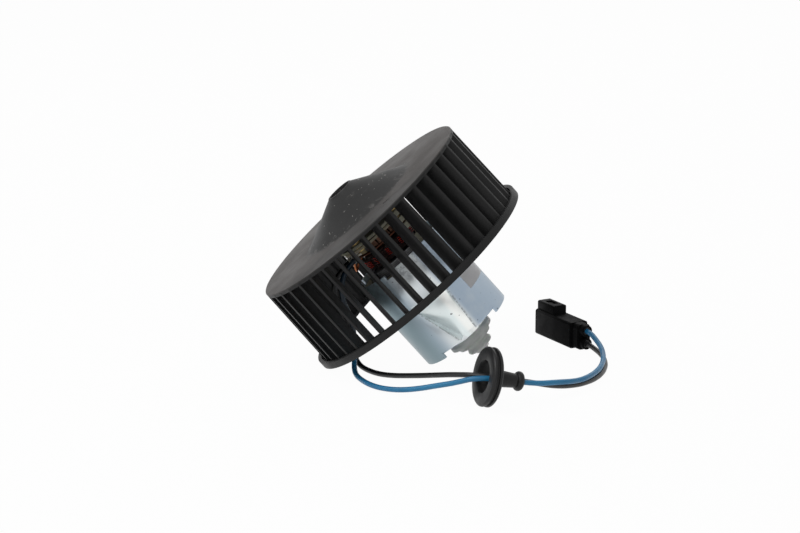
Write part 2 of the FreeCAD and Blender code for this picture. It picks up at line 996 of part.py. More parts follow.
def in_grommet(along, aside):
    """A place in the grommet: along its axis from the flange, and level to the side of the axis."""
    dip = math.radians(grommet_dip)
    turn = math.radians(grommet_turn)
    axis = Vec(math.cos(dip) * math.cos(turn), math.cos(dip) * math.sin(turn), -math.sin(dip))
    level = Vec(-math.sin(turn), math.cos(turn), 0)
    return grommet_middle().add(axis.multiply(along)).add(level.multiply(aside))


def grommet():
    """A rubber grommet: a grooved flange, a hollow mouth, a tapering neck and an end bead."""
    half = flange_t / 2
    lip = flange_r - flange_round
    groove = groove_wide / 2
    bead_end = neck_end + bead_wide
    bead_mid = neck_end + bead_wide / 2
    solid = turned([
        (mouth_r, -half),
        (lip, -half),
        (flange_r, -half + flange_round),
        (flange_r, -groove),
        (groove_r, -groove),
        (groove_r, groove),
        (flange_r, groove),
        (flange_r, half - flange_round),
        (lip, half),
        (neck_root_r + 1.6, half),
        (neck_root_r, half + 1.4),
        (neck_end_r, neck_end),
        ((bead_r, bead_mid), (neck_end_r, bead_end)),
        (neck_bore_r, bead_end),
        (neck_bore_r, half + 1.0),
        (mouth_r - 1.2, -half + 3.2),
    ])
    solid = along_x(solid)
    solid.rotate(Vec(0, 0, 0), Vec(0, 1, 0), grommet_dip)
    solid.rotate(Vec(0, 0, 0), Vec(0, 0, 1), grommet_turn)
    solid.translate(grommet_middle())
    return solid


def place_plug(shape):
    """The plug is built along +X from the ends of its lead tubes, and then turned to its place."""
    copy = shape.copy()
    copy.rotate(Vec(0, 0, 0), Vec(0, 0, 1), plug_turn)
    copy.translate(plug_at)
    return copy


def plug_tube_bore():
    return lead_r + 0.9


def plug_housing():
    """A two-way housing: two lead tubes, a back block, a long body and a latch tunnel on top."""
    tubes = []
    for z in (plug_tube_low, plug_tube_high):
        tubes.append(Part.makeCylinder(plug_tube_r, plug_tube_long + 1, Vec(0, 0, z), Vec(1, 0, 0)))
    body_start = plug_tube_long + plug_back_long
    end = body_start + plug_body_long
    half_back = plug_back_wide / 2
    half_body = plug_body_wide / 2
    half_latch = latch_wide / 2
    top = plug_body_high + latch_high
    back_low = (plug_body_high - plug_back_high) / 2
    back_high = back_low + plug_back_high
    back = rounded_block(
        plug_tube_long, body_start + plug_back_round, -half_back, half_back,
        back_low, back_high, plug_back_round,
    )
    body = rounded_block(
        body_start, end, -half_body, half_body, 0, plug_body_high, plug_round
    )
    latch_start = end - latch_long
    hood = rounded_block(
        latch_start, end, -half_latch, half_latch, 2 * plug_round, top, plug_round * 0.6
    )
    solid = body.multiFuse(tubes + [back, hood])
    socket_start = end - plug_socket_deep
    socket = rounded_block(
        socket_start,
        end + 1,
        -half_body + plug_wall,
        half_body - plug_wall,
        plug_wall,
        plug_body_high - plug_wall,
        plug_round * 0.6,
    )
    tunnel = block(
        socket_start, end + 1, -half_latch + latch_wall, half_latch - latch_wall,
        plug_body_high / 2, top - latch_wall,
    )
    slot_end = end - latch_slot_from
    slot = block(
        slot_end - latch_slot_long, slot_end, -latch_slot_wide / 2, latch_slot_wide / 2,
        top - 2 * latch_wall, top + 1,
    )
    lever_high = top - latch_lever_drop
    lever = block(
        socket_start - 1, end - latch_slot_from / 2, -latch_lever_wide / 2, latch_lever_wide / 2,
        lever_high - latch_lever_t, lever_high,
    )
    solid = solid.cut(slot).cut(socket).cut(tunnel).fuse(lever)
    for z in (plug_tube_low, plug_tube_high):
        bore = Part.makeCylinder(plug_tube_bore(), seal_long, Vec(0, 0, z), Vec(1, 0, 0))
        solid = solid.cut(bore)
    return place_plug(solid)


def plug_pins():
    """The two flat contacts in the socket."""
    base = plug_tube_long + plug_back_long + plug_body_long - plug_socket_deep
    middle = plug_body_high / 2
    pins = []
    for z in (middle - 3.6, middle + 3.6):
        pins.append(block(
            base, base + blade_pin_long, -blade_pin_wide / 2, blade_pin_wide / 2,
            z - blade_pin_t / 2, z + blade_pin_t / 2,
        ))
    return place_plug(group(pins))


def plug_seal(z):
    """The rubber sleeve round a lead at the mouth of its tube."""
    ring = Part.makeCylinder(plug_tube_bore() - 0.02, seal_long - 0.4, Vec(0.4, 0, z), Vec(1, 0, 0))
    bore = Part.makeCylinder(lead_r + 0.02, seal_long + 2, Vec(-1, 0, z), Vec(1, 0, 0))
    return place_plug(ring.cut(bore))


def plug_place(along, z):
    """A place on the line of one of the plug's tubes, from the tube's mouth inwards."""
    turn = math.radians(plug_turn)
    return plug_at.add(Vec(along * math.cos(turn), along * math.sin(turn), z))


# Laying down

def lie_angle():
    """The tilt at which the fan's ring and the can's skirt both touch the table."""
    drop = ring_r - can_r
    reach = can_back + skirt_h - ring_bottom
    return math.atan2(drop, reach)


def lay_move():
    """The sideways and upward shift of the laid motor, which centres its footprint."""
    tilt = lie_angle()
    left = -disc_r * math.sin(tilt)
    right = ring_bottom * math.cos(tilt) + ring_r * math.sin(tilt)
    height = ring_bottom * math.sin(tilt) + ring_r * math.cos(tilt)
    return Vec(-(left + right) / 2, 0, height)


def lay_down(shape):
    """Turn the upright motor to its resting pose."""
    copy = shape.copy()
    copy.rotate(Vec(0, 0, 0), Vec(0, 1, 0), math.degrees(lie_angle()) - 90)
    copy.translate(lay_move())
    return copy


def laid(radius, angle, depth):
    """The resting place of a point of the upright motor."""
    tilt = lie_angle()
    upright = polar(radius, angle, -depth)
    x = depth * math.cos(tilt) + upright.x * math.sin(tilt)
    z = upright.x * math.cos(tilt) - depth * math.sin(tilt)
    return lay_move().add(Vec(x, upright.y, z))


def lead_stops(side, inside, before, after, z):
    """A lead's whole route: crimp, motor, table, grommet, table, plug."""
    aside = -side * lead_offset
    stops = [laid(crimp_end_r, terminal_place(side), -crimp_middle())]
    stops += [laid(*p) for p in inside]
    stops += [Vec(*p) for p in before]
    stops += [in_grommet(-grommet_corner, aside), in_grommet(bead_corner, aside)]
    stops += [Vec(*p) for p in after]
    stops += [plug_place(-plug_corner, z), plug_place(seal_long, z)]
    return stops


def leads():
    """The two leads, and a note of their lengths, bends and volumes."""
    made = {}
    for name, stops in (
        ("lead_black", lead_stops(-1, black_inside, black_before, black_after, plug_tube_low)),
        ("lead_blue", lead_stops(1, blue_inside, blue_before, blue_after, plug_tube_high)),
    ):
        solid, length = cord(stops, lead_r)
        made[name] = solid
        bends = []
        for k in range(1, len(stops) - 1):
            bends.append(corner_radius(stops[k - 1], stops[k], stops[k + 1])[0])
        filled = solid.Volume / (math.pi * lead_r * lead_r * length)
        print(name, "length", round(length, 1), "radii", [round(b, 1) for b in bends])
        print(name, "volume over section times length", round(filled, 4))
        print(name, "route", [(round(p.x, 2), round(p.y, 2), round(p.z, 2)) for p in stops])
    return made


def build():
    upright = {
        "fan_wheel": wheel(),
        "shaft": shaft(),
        "hub_clip": hub_clip(),
        "armature_stack": armature_stack(),
        "armature_winding": armature_winding(),
        "commutator_core": commutator_core(),
        "commutator_bars": commutator_bars(),
        "front_thrust_washer": thrust_washer(-deck_top - deck_t - washer_gap),
        "rear_thrust_washer": thrust_washer(
            bearing_floor() + bearing_long + clamp_t + washer_gap + washer_t
        ),
        "motor_can": motor_can(),
        "magnet_right": magnet(skirt_at),
        "magnet_left": magnet(skirt_at + 180),
        "magnet_clips": magnet_clips(),
        "end_frame": end_frame(),
        "front_bearing": front_bearing(),
        "bearing_retainer": bearing_retainer(),
        "brush_card": brush_card(),
        "card_rivets": card_rivets(),
        "brush_box_right": brush_box(0),
        "brush_box_left": brush_box(180),
        "brush_right": brush(0),
        "brush_left": brush(180),
        "brush_spring_right": brush_spring(0),
        "brush_spring_left": brush_spring(180),
        "brush_shunt_right": brush_shunt(shunt_right_route),
        "brush_shunt_left": brush_shunt(shunt_left_route),
        "terminal_black": terminal(-1),
        "terminal_blue": terminal(1),
        "rear_bearing": rear_bearing(),
        "rear_bearing_carrier": bearing_carrier(),
        "rear_bearing_clamp": bearing_clamp(),
        "rear_cap": rear_cap(),
    }
    nodes = {name: lay_down(shape) for name, shape in upright.items()}
    nodes.update(leads())
    nodes["grommet"] = grommet()
    nodes["plug_housing"] = plug_housing()
    nodes["plug_pins"] = plug_pins()
    nodes["plug_seal_low"] = plug_seal(plug_tube_low)
    nodes["plug_seal_high"] = plug_seal(plug_tube_high)
    return nodes


os.makedirs("parts", exist_ok=True)
for node_name, node_shape in build().items():
    node_shape.exportStep("parts/" + node_name + ".step")
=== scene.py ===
import json
import math

import bpy
import bmesh
from mathutils import Matrix, Vector


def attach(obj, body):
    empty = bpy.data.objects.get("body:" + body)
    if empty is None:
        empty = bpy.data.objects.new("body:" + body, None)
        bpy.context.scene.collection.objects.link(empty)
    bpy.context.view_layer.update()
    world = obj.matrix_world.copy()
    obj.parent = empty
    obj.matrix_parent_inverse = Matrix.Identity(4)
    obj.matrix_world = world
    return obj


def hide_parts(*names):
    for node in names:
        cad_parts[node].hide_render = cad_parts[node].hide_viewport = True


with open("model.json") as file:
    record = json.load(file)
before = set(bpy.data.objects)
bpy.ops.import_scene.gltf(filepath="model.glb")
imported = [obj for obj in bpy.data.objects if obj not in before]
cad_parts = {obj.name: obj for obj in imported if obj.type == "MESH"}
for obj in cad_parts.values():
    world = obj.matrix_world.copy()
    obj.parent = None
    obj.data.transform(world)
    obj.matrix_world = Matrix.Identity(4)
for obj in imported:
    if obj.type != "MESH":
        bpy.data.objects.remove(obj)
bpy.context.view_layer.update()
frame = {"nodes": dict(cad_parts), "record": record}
nodes = frame["nodes"]
scene = bpy.context.scene
MM = 0.001

# Sizes in millimetres, repeated from the model. Depths are measured from the fan's disc.
DISC_R = 75.0
RING_R, RING_DEPTH = 79.2, 57.3
CAN_R, CAN_DEPTH = 31.2, 99.8
ARM_DEPTH, ARM_LONG = 62.0, 39.8
LEAD_R = 1.6

# Lay of the motor: it rests on the fan's ring and the can's skirt, which gives its tilt
TILT = math.atan2(RING_R - CAN_R, CAN_DEPTH - RING_DEPTH)
COS, SIN = math.cos(TILT), math.sin(TILT)
HUB = Vector((
    -(RING_DEPTH * COS + RING_R * SIN - DISC_R * SIN) / 2,
    0.0,
    RING_DEPTH * SIN + RING_R * COS,
)) * MM
LAY = Matrix.Translation(HUB) @ Matrix.Rotation(TILT - math.pi / 2, 4, "Y")


# Camera, fitted to the photograph

PHOTO_WIDE = 800.0
FOCAL_PIXELS = 2466.0
SENSOR = 36.0
DISTANCE = 1.5
ELEVATION = math.radians(14.0)
TARGET = Vector((5.39, 0.0, 60.0)) * MM

camera_data = bpy.data.cameras.new("camera")
camera_data.sensor_width = SENSOR
camera_data.lens = FOCAL_PIXELS * SENSOR / PHOTO_WIDE
camera_data.clip_start = 0.05
camera_data.clip_end = 20.0
camera = bpy.data.objects.new("camera", camera_data)
scene.collection.objects.link(camera)
camera.location = TARGET + DISTANCE * Vector((0.0, -math.cos(ELEVATION), math.sin(ELEVATION)))
camera.rotation_euler = (math.pi / 2 - ELEVATION, 0.0, 0.0)
scene.camera = camera


# Materials

class Shade:
    """A small builder of one node material."""

    def __init__(self, name, rough=0.5, metallic=0.0, **fixed):
        self.material = bpy.data.materials.new(name)
        self.material.use_nodes = True
        self.tree = self.material.node_tree
        self.shader = self.tree.nodes["Principled BSDF"]
        self.set("Roughness", rough)
        self.set("Metallic", metallic)
        for key, value in fixed.items():
            self.set(key.replace("_", " "), value)
        self.place = self.node("ShaderNodeTexCoord").outputs["Object"]

    def node(self, kind, **settings):
        made = self.tree.nodes.new(kind)
        for key, value in settings.items():
            setattr(made, key, value)
        return made

    def set(self, socket, value):
        self.shader.inputs[socket].default_value = value

    def join(self, source, target):
        self.tree.links.new(source, target)

    def feed(self, node, socket, value):
        """Links an output, or sets a constant."""
        if isinstance(value, bpy.types.NodeSocket):
            self.join(value, node.inputs[socket])
        else:
            node.inputs[socket].default_value = value

    def upright(self):
        """Coordinates of the motor before it is laid down, in metres, with the shaft on Z."""
        off = self.node("ShaderNodeVectorMath", operation="SUBTRACT")
        self.join(self.place, off.inputs[0])
        off.inputs[1].default_value = HUB
        turn = self.node("ShaderNodeVectorRotate", rotation_type="Y_AXIS")
        self.join(off.outputs[0], turn.inputs["Vector"])
        turn.inputs["Angle"].default_value = math.pi / 2 - TILT
        return turn.outputs[0]

    def split(self, vector):
        made = self.node("ShaderNodeSeparateXYZ")
        self.join(vector, made.inputs[0])
        return made.outputs

    def drawn_out(self, vector, share):
        """Upright coordinates in which a texture is drawn out along the shaft."""
        made = self.node("ShaderNodeVectorMath", operation="MULTIPLY")
        self.join(vector, made.inputs[0])
        made.inputs[1].default_value = (1.0, 1.0, share)
        return made.outputs[0]

    def noise(self, scale, detail=3.0, rough=0.5, where=None):
        made = self.node("ShaderNodeTexNoise")
        self.join(where or self.place, made.inputs["Vector"])
        made.inputs["Scale"].default_value = scale
        made.inputs["Detail"].default_value = detail
        made.inputs["Roughness"].default_value = rough
        return made.outputs[0]

    def cells(self, scale, where=None):
        made = self.node("ShaderNodeTexVoronoi")
        self.join(where or self.place, made.inputs["Vector"])
        made.inputs["Scale"].default_value = scale
        return made.outputs["Distance"]

    def bands(self, where, scale, distortion):
        """Even bands across the shaft, for turns of wire and stacked sheets."""
        made = self.node("ShaderNodeTexWave", wave_type="BANDS", bands_direction="Z")
        self.join(where, made.inputs["Vector"])
        made.inputs["Scale"].default_value = scale
        made.inputs["Distortion"].default_value = distortion
        made.inputs["Detail"].default_value = 2.0
        return made.outputs["Fac"]

    def math(self, operation, a, b=0.0):
        made = self.node("ShaderNodeMath", operation=operation)
        for k, value in enumerate((a, b)):
            self.feed(made, k, value)
        return made.outputs[0]

    def times(self, a, b):
        return self.math("MULTIPLY", a, b)

    def length(self, x, y):
        """How far a place is from the shaft."""
        return self.math("SQRT", self.math("ADD", self.times(x, x), self.times(y, y)))

    def span(self, value, low, high, to_low=0.0, to_high=1.0):
        """A smooth step from one value to the other between two places, kept inside them."""
        made = self.node("ShaderNodeMapRange", interpolation_type="SMOOTHSTEP", clamp=True)
        self.feed(made, "Value", value)
        made.inputs["From Min"].default_value = low
        made.inputs["From Max"].default_value = high
        made.inputs["To Min"].default_value = to_low
        made.inputs["To Max"].default_value = to_high
        return made.outputs[0]

    def mix(self, share, low, high):
        """A colour between two, which are outputs or (r, g, b)."""
        made = self.node("ShaderNodeMix", data_type="RGBA")
        self.feed(made, 0, share)
        for socket, value in ((6, low), (7, high)):
            if isinstance(value, tuple):
                value = (*value, 1.0)
            self.feed(made, socket, value)
        return made.outputs[2]

    def bump(self, height, strength, distance, under=None):
        made = self.node("ShaderNodeBump")
        made.inputs["Strength"].default_value = strength
        made.inputs["Distance"].default_value = distance
        self.join(height, made.inputs["Height"])
        if under is not None:
            self.join(under, made.inputs["Normal"])
        return made.outputs[0]

    def paint(self, colour=None, rough=None, normal=None):
        for socket, value in (("Base Color", colour), ("Roughness", rough), ("Normal", normal)):
            if value is None:
                continue
            if isinstance(value, tuple):
                self.set(socket, (*value, 1.0))
            else:
                self.join(value, self.shader.inputs[socket])
        return self.material


def fan_plastic():
    """Black moulding with dust specks near the hub, scuffs, a rub round the cone's foot, and a
    painted reflection that lightens the disc's flat face.
    """
    s = Shade("fan_plastic", 0.5, Specular_IOR_Level=0.22)
    up = s.upright()
    x, y, z = s.split(up)
    radius = s.length(x, y)
    broad = s.noise(28.0, 4.0, 0.6, up)
    grain = s.noise(1500.0, 4.0, 0.65, up)
    leather = s.cells(900.0, up)
    colour = s.mix(broad, (0.012, 0.0121, 0.0123), (0.019, 0.019, 0.019))
    top = s.span(z, -0.0012, -0.0002)
    # painted reflection: the disc's flat top beyond the cone is painted lighter, less so at its
    # near edge
    painted_disc_sheen = s.times(s.span(radius, 0.037, 0.044), top)
    painted_disc_sheen = s.times(painted_disc_sheen, s.span(y, -0.060, -0.030, 0.35, 1.0))
    colour = s.mix(s.times(painted_disc_sheen, 0.7), colour, (0.066, 0.058, 0.054))
    near_hub = s.times(s.span(radius, 0.054, 0.030), top)
    speck = s.span(s.noise(430.0, 2.0, 0.5, up), 0.695, 0.73)
    dust = s.times(speck, near_hub)
    colour = s.mix(dust, colour, (0.36, 0.35, 0.33))
    scuff = s.times(s.span(s.noise(75.0, 6.0, 0.72, up), 0.57, 0.72), top)
    colour = s.mix(s.times(scuff, 0.4), colour, (0.10, 0.095, 0.09))
    foot = s.times(s.span(radius, 0.043, 0.0385), s.span(radius, 0.034, 0.0375))
    rub = s.times(foot, s.span(s.noise(160.0, 5.0, 0.7, up), 0.5, 0.66))
    colour = s.mix(s.times(rub, 0.5), colour, (0.17, 0.165, 0.16))
    rough = s.span(broad, 0.3, 0.7, 0.42, 0.58)
    fine = s.bump(grain, 0.35, 0.00012)
    normal = s.bump(leather, 0.22, 0.00010, fine)
    return s.paint(colour, rough, normal)


def zinc_steel():
    """Bluish plated steel with dark specks, and painted light: a paler strip and paler recess faces
    as painted reflection, a painted highlight inside each recess's right crease, and painted shade
    in the creases, on the can's left flank and in blotches inside the fan's drum.
    """
    s = Shade("zinc_steel", 0.3, 1.0)
    up = s.upright()
    x, y, z = s.split(up)
    streaks = s.noise(230.0, 5.0, 0.65, s.drawn_out(up, 0.12))
    patches = s.noise(48.0, 4.0, 0.6, up)
    cloud = s.noise(26.0, 4.0, 0.6, s.drawn_out(up, 0.5))
    colour = s.mix(s.span(cloud, 0.3, 0.7), (0.36, 0.44, 0.53), (0.47, 0.55, 0.63))
    colour = s.mix(s.times(s.span(patches, 0.5, 0.75), 0.35), colour, (0.58, 0.62, 0.62))
    side = s.times(s.math("SIGN", y), -1.0)
    across = s.times(x, side)
    # painted reflection: a strip across the recesses, on the near and the far side, is painted much
    # paler
    painted_strip_sheen = s.times(s.span(across, -0.016, -0.004), s.span(across, 0.014, 0.010))
    colour = s.mix(s.times(painted_strip_sheen, 0.75), colour, (0.80, 0.83, 0.82))
    # painted shade: the wall is painted darker beyond the strip's left edge, for the can's shaded
    # flank
    colour = s.mix(s.span(across, -0.004, -0.022), colour, (0.22, 0.29, 0.32))
    # where a recess runs, from its start (0) to the can's end (1), and its two slanting sides
    depth = s.math("SUBTRACT", s.times(z, -1.0), ARM_DEPTH * MM)
    share = s.math("DIVIDE", depth, ARM_LONG * MM)
    right = s.math("ADD", s.times(share, -0.0035), 0.0127)
    left = s.math("ADD", s.times(share, 0.0114), -0.0118)
    from_right = s.math("SUBTRACT", across, right)
    from_left = s.math("SUBTRACT", across, left)
    deep = s.span(share, -0.03, 0.03)
    # painted reflection: each recess's face between its two creases is painted paler
    sides = s.times(s.span(from_left, -0.0004, 0.0006), s.span(from_right, 0.0004, -0.0006))
    colour = s.mix(s.times(sides, deep), colour, (0.80, 0.87, 0.87))
    # painted highlight: a bright strip just inside each recess's right crease
    painted_highlight_band = s.times(s.span(from_right, -0.0085, -0.0050), s.span(from_right, -0.0006, -0.0018))
    colour = s.mix(s.times(s.times(painted_highlight_band, deep), 0.9), colour, (0.96, 0.97, 0.94))
    # painted shade: dark lines in the valleys of both creases of each recess, broken into speckles
    # along the wrinkles of the drawn metal
    at_right = s.span(s.math("ABSOLUTE", s.math("SUBTRACT", from_right, 0.0002)), 0.0013, 0.0002)
    at_left = s.span(s.math("ABSOLUTE", from_left), 0.0009, 0.0001)
    radius = s.length(x, y)
    at_left = s.times(at_left, s.span(radius, 0.0298, 0.0307, 0.15, 1.0))
    folds = s.times(s.math("MAXIMUM", at_right, at_left), deep)
    crease_speckle = s.span(s.noise(640.0, 4.0, 0.7, up), 0.40, 0.60)
    colour = s.mix(s.times(s.times(folds, crease_speckle), 0.7), colour, (0.14, 0.155, 0.17))
    speck = s.span(s.noise(420.0, 2.0, 0.5, up), 0.71, 0.745)
    colour = s.mix(s.times(speck, 0.8), colour, (0.05, 0.05, 0.055))
    # painted shade: the can is darkened in blotches where it lies inside the fan's drum
    patch_noise = s.span(s.noise(150.0, 5.0, 0.7, up), 0.48, 0.62)
    painted_drum_shade = s.times(s.span(z, -0.056, -0.040), patch_noise)
    colour = s.mix(s.times(painted_drum_shade, 0.6), colour, (0.16, 0.18, 0.20))
    rough = s.span(cloud, 0.35, 0.65, 0.30, 0.42)
    ripples = s.bump(streaks, 0.05, 0.00008)
    waves = s.bump(s.noise(60.0, 2.0, 0.5, up), 0.22, 0.0006, ripples)
    return s.paint(colour, rough, waves)


def plain(name, low, high, rough, grain=700.0, depth=0.00008, strength=0.25, metallic=0.0, **fixed):
    """A moulded, rubbed or ground surface with a fine grain and slow changes of tone."""
    s = Shade(name, rough, metallic, **fixed)
    broad = s.noise(60.0, 4.0, 0.6)
    fine = s.noise(grain, 4.0, 0.6)
    colour = s.mix(s.span(broad, 0.3, 0.7), low, high)
    gloss = s.span(s.noise(140.0, 3.0, 0.55), 0.3, 0.7, rough - 0.06, rough + 0.08)
    return s.paint(colour, gloss, s.bump(fine, strength, depth))


def cap_nylon():
    """Natural nylon that lets some light through."""
    s = Shade("cap_nylon", 0.34, 0.0, Transmission_Weight=0.35, IOR=1.5, Subsurface_Weight=0.6)
    s.set("Subsurface Radius", (0.004, 0.005, 0.004))
    s.set("Subsurface Scale", 1.0)
    up = s.upright()
    folds = s.noise(150.0, 3.0, 0.5, s.drawn_out(up, 0.25))
    colour = s.mix(s.span(folds, 0.3, 0.7), (0.74, 0.76, 0.73), (0.90, 0.91, 0.89))
    return s.paint(colour, None, s.bump(folds, 0.55, 0.0010))


def enamel(name, low, high, rough, coat):
    """Varnished wire, in turns."""
    s = Shade(name, rough, 0.0, Coat_Weight=coat, Coat_Roughness=0.12)
    turns = s.bands(s.upright(), 220.0, 3.0)
    colour = s.mix(turns, low, high)
    return s.paint(colour, None, s.bump(turns, 0.8, 0.0005))


def laminations():
    s = Shade("lamination_steel", 0.45, 1.0)
    sheets = s.bands(s.upright(), 300.0, 0.3)
    colour = s.mix(sheets, (0.16, 0.16, 0.165), (0.30, 0.30, 0.31))
    return s.paint(colour, None, s.bump(sheets, 0.4, 0.0002))


def label_film():
    s = Shade("label_film", 0.32, 0.0, Coat_Weight=0.25, Coat_Roughness=0.2)
    up = s.upright()
    tone = s.noise(90.0, 3.0, 0.5, up)
    fine = s.noise(900.0, 2.0, 0.5, up)
    colour = s.mix(s.span(tone, 0.3, 0.7), (0.84, 0.84, 0.86), (0.91, 0.91, 0.93))
    return s.paint(colour, None, s.bump(fine, 0.1, 0.00003))


def lead_skin(name, low, high):
    """The skin of a lead, with painted shade where it lies inside the fan."""
    s = Shade(name, 0.36)
    z = s.split(s.upright())[2]
    tone = s.noise(35.0, 3.0, 0.5)
    fine = s.noise(160.0, 1.0, 0.4)
    colour = s.mix(s.span(tone, 0.3, 0.7), low, high)
    # painted shade: the colour falls to a twelfth where the lead lies inside the fan's drum
    painted_shade_colour = tuple(0.08 * part for part in low)
    colour = s.mix(s.span(z, -0.058, -0.050), colour, painted_shade_colour)
    rough = s.span(s.noise(90.0, 2.0, 0.5), 0.3, 0.7, 0.30, 0.46)
    return s.paint(colour, rough, s.bump(fine, 0.08, 0.0001))


looks = {
    "fan_plastic": fan_plastic(),
    "zinc_steel": zinc_steel(),
    "cap_nylon": cap_nylon(),
    # painted shade: the armature's winding is a nearly black copy of the open wires' red enamel,
    # for the shade inside the drum
    "winding_enamel": enamel(
        "winding_enamel", (0.008, 0.002, 0.002), (0.030, 0.006, 0.004), 0.6, 0.0
    ),
    "lamination_steel": laminations(),
    "shaft_steel": plain("shaft_steel", (0.30, 0.26, 0.22), (0.46, 0.41, 0.36), 0.34, metallic=1.0),
    "spring_steel": plain(
        "spring_steel", (0.34, 0.33, 0.31), (0.52, 0.50, 0.47), 0.36, metallic=1.0
    ),
    "card_phenolic": plain("card_phenolic", (0.40, 0.35, 0.25), (0.52, 0.46, 0.34), 0.55),
    "copper": plain("copper", (0.62, 0.20, 0.08), (0.84, 0.34, 0.16), 0.38, 900.0, metallic=1.0),
    "worn_bars": plain("worn_bars", (0.10, 0.055, 0.04), (0.20, 0.11, 0.075), 0.45, metallic=1.0),
    "white_nylon": plain("white_nylon", (0.60, 0.60, 0.55), (0.72, 0.72, 0.67), 0.42),
    "ferrite": plain("ferrite", (0.045, 0.045, 0.047), (0.075, 0.075, 0.075), 0.62, 500.0),
    "frame_plastic": plain("frame_plastic", (0.40, 0.39, 0.29), (0.50, 0.49, 0.38), 0.5),
    "bearing_bronze": plain(
        "bearing_bronze", (0.30, 0.20, 0.10), (0.44, 0.31, 0.17), 0.4, metallic=1.0
    ),
    "rivet_brass": plain("rivet_brass", (0.55, 0.41, 0.17), (0.72, 0.57, 0.29), 0.32, metallic=1.0),
    "carbon": plain("carbon", (0.03, 0.03, 0.032), (0.055, 0.055, 0.057), 0.5),
    "tinned_brass": plain(
        "tinned_brass", (0.50, 0.49, 0.46), (0.70, 0.69, 0.66), 0.3, metallic=1.0
    ),
    "grommet_rubber": plain(
        "grommet_rubber", (0.010, 0.010, 0.0105), (0.018, 0.018, 0.0185), 0.42,
        Specular_IOR_Level=0.3,
    ),
    "plug_plastic": plain(
        "plug_plastic", (0.004, 0.004, 0.0044), (0.008, 0.008, 0.0084), 0.42, 1200.0,
        Specular_IOR_Level=0.09, IOR=1.28,
    ),
    "clip_steel": plain("clip_steel", (0.62, 0.47, 0.42), (0.80, 0.64, 0.58), 0.5),
    # painted shade: dark copies of copper and brass, for parts that lie in shade inside the motor
    "painted_shade_copper": plain("painted_shade_copper", (0.07, 0.03, 0.02), (0.15, 0.06, 0.035), 0.5, metallic=1.0),
    "painted_shade_brass": plain("painted_shade_brass", (0.12, 0.10, 0.06), (0.22, 0.18, 0.11), 0.45, metallic=1.0),
    "lead_black_pvc": lead_skin("lead_black_pvc", (0.012, 0.012, 0.013), (0.024, 0.024, 0.025)),
    "lead_blue_pvc": lead_skin("lead_blue_pvc", (0.014, 0.19, 0.40), (0.030, 0.27, 0.52)),
}


# Leads, from the brush card past the fan's edge, through the grommet and round to the plug

BLACK_ROUTE = [
    (-25.38, -10.37, 64.88), (-32.09, -14.28, 58.89), (-34.85, -16.84, 49.9),
    (-33.02, -16.69, 40.3), (-28.2, -15.0, 32.0), (-24.2, -14.4, 24.0),
    (-22.6, -14.8, 16.0), (-22.2, -17.4, 8.8), (-19.4, -22.0, 4.2), (-14.4, -28.8, 2.9),
    (-7.2, -38.4, 3.2), (1.4, -47.4, 4.9), (10.0, -55.0, 7.1), (18.8, -63.0, 9.6),
    (28.0, -71.4, 12.4), (35.8, -78.6, 14.8), (50.83, -92.58, 18.64), (81.36, -83.25, 11.57),
    (96.4, -73.2, 6.0), (109.6, -62.6, 3.6), (118.8, -51.6, 2.9), (125.2, -39.4, 2.8),
    (129.2, -25.2, 2.8), (130.6, -10.0, 2.8), (129.6, 4.0, 3.0), (126.0, 14.8, 3.8),
    (123.35, 19.8, 4.6), (119.86, 26.1, 4.6),
]
BLUE_ROUTE = [
    (-22.33, -16.89, 67.58), (-27.89, -23.25, 62.61), (-29.87, -28.0, 54.31),
    (-28.4, -28.41, 44.39), (-24.21, -26.09, 35.54), (-22.4, -25.6, 26.0),
    (-21.8, -25.2, 17.0), (-22.0, -27.2, 9.6), (-22.2, -31.6, 5.0), (-21.0, -39.6, 3.0),
    (-17.2, -50.4, 2.9), (-12.0, -60.2, 2.9), (-4.6, -68.4, 3.2), (5.2, -74.8, 4.2),
    (16.2, -79.6, 6.5), (26.6, -84.4, 9.8), (36.6, -89.4, 12.9), (51.83, -95.87, 18.64),
    (82.36, -86.54, 11.57), (96.6, -77.2, 9.7), (110.0, -65.6, 7.0), (118.2, -53.4, 6.4),
    (124.0, -40.8, 6.5), (127.8, -26.2, 6.6), (129.4, -11.2, 6.9), (129.0, 2.6, 8.4),
    (126.0, 13.2, 10.8), (123.35, 19.8, 12.8), (119.86, 26.1, 12.8),
]


def lead(name, route, slot):
    """The skin of a lead along its route, in place of the model's plain tube."""
    curve = bpy.data.curves.new(name, "CURVE")
    curve.dimensions = "3D"
    curve.bevel_depth = LEAD_R * MM
    curve.bevel_resolution = 6
    curve.resolution_u = 16
    curve.use_fill_caps = True
    spline = curve.splines.new("NURBS")
    spline.points.add(len(route) - 1)
    for point, place in zip(spline.points, route):
        point.co = (place[0] * MM, place[1] * MM, place[2] * MM, 1.0)
    spline.order_u = 3
    spline.use_endpoint_u = True
    made = bpy.data.objects.new(name, curve)
    scene.collection.objects.link(made)
    made.data.materials.append(looks[slot])
    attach(made, "motor")
    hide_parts(name.replace("_skin", ""))


lead(
    "lead_black_skin", BLACK_ROUTE, "lead_black_pvc",
)
lead(
    "lead_blue_skin", BLUE_ROUTE, "lead_blue_pvc",
)


# Nodes of the model

